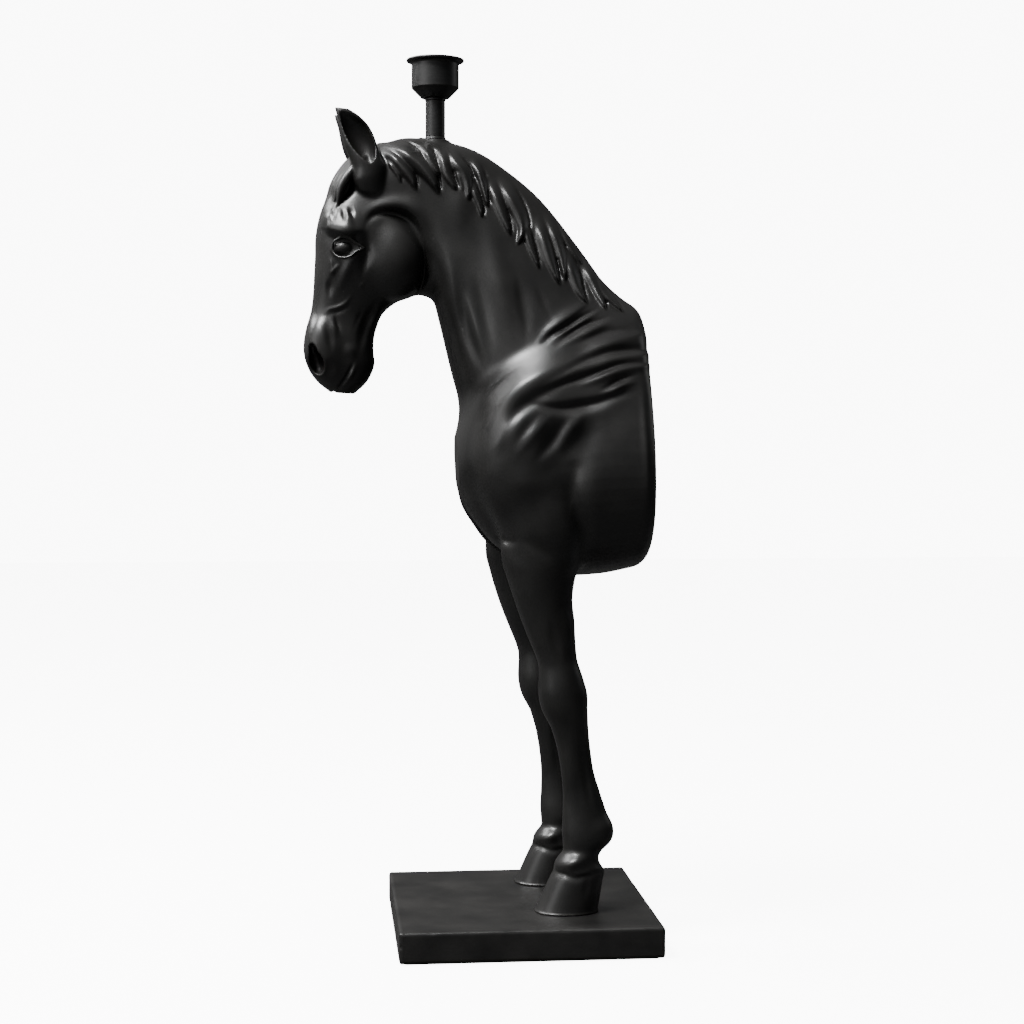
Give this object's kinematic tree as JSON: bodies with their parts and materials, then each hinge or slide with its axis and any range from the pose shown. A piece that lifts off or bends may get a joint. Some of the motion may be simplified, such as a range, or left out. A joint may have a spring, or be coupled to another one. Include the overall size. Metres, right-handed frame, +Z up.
{
  "type": "horse table lamp base",
  "caption": "Lamp base shaped as the front half of a horse with a flat wall side, on a square slab; a stem on the neck carries a flared cup with a screw lampholder.",
  "frame": {"origin": "on the underside of the felt, in the horse's middle plane, halfway along the slab", "axes": "+Z up; the horse faces -Y and its flat back is at +Y; +X is towards the horse's left side"},
  "size_m": [0.272, 0.3445, 0.88],
  "materials": {
    "horse_black": "satin black paint over cast resin",
    "slab_black": "matt black stain, worn along the edges",
    "stem_black": "matt black",
    "steel": "zinc plated",
    "brass": "plain, slightly dull",
    "phenolic": "moulded black",
    "felt": "felt",
    "panel_board": "dark hardboard",
    "flex": "matt black sheath"
  },
  "bodies": {
    "lamp": {"base_slab": "slab_black", "felt_sheet": "felt", "horse_casting": "horse_black", "back_panel": "panel_board", "cable_gland": "phenolic", "gland_nut": "phenolic", "stud_left": "steel", "stud_right": "steel", "stud_washer_left": "steel", "stud_washer_right": "steel", "stud_nut_left": "steel", "stud_nut_right": "steel", "threaded_nipple": "steel", "neck_washer": "steel", "neck_nut": "steel", "stem_collar": "stem_black", "stem_tube": "stem_black", "stem_top_ring": "stem_black", "cup_washer": "steel", "cup_nut": "steel", "lamp_cup": "stem_black", "lampholder_body": "phenolic", "screw_shell": "brass", "terminal_screw_1": "brass", "terminal_screw_2": "brass", "inner_flex": "flex", "panel_screw_1": "steel", "panel_screw_2": "steel", "panel_screw_3": "steel", "panel_screw_4": "steel"},
    "shade_ring": {"shade_ring": "phenolic"},
    "centre_contact": {"centre_contact": "brass"}
  },
  "joints": [
    {"name": "shade_ring_lift", "type": "slide", "parent": "lamp", "child": "shade_ring", "axis": [0, 0, 1], "range_m": [0, 0.02]},
    {"name": "contact_press", "type": "slide", "parent": "lamp", "child": "centre_contact", "axis": [0, 0, -1], "range_m": [0, 0.0018], "stiffness_N_per_m": 800}
  ]
}
